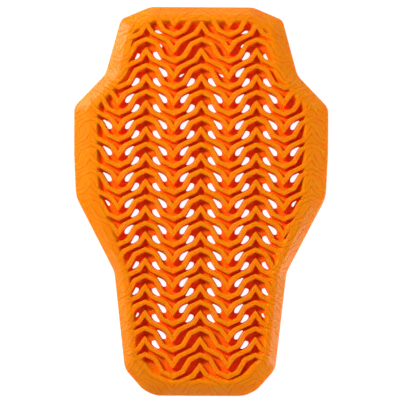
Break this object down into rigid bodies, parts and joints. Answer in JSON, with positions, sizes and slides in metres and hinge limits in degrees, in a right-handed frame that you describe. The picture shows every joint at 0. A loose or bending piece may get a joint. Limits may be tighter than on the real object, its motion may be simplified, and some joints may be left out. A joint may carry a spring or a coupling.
{
  "type": "back protector",
  "caption": "Flexible moulded back protector pad: broad shoulders, narrower tail, solid sloping border and a field of zigzag ribs over a vented web.",
  "frame": {"origin": "middle of the pad's bounding box, on the flat back face", "axes": "+X across the back, +Y along the pad towards the neck end, +Z out of the ribbed outer face"},
  "size_m": [0.281, 0.43, 0.014],
  "materials": {
    "elastomer": "satin, fine moulded grain"
  },
  "bodies": {
    "root": {"protector_pad": "elastomer"}
  },
  "joints": []
}
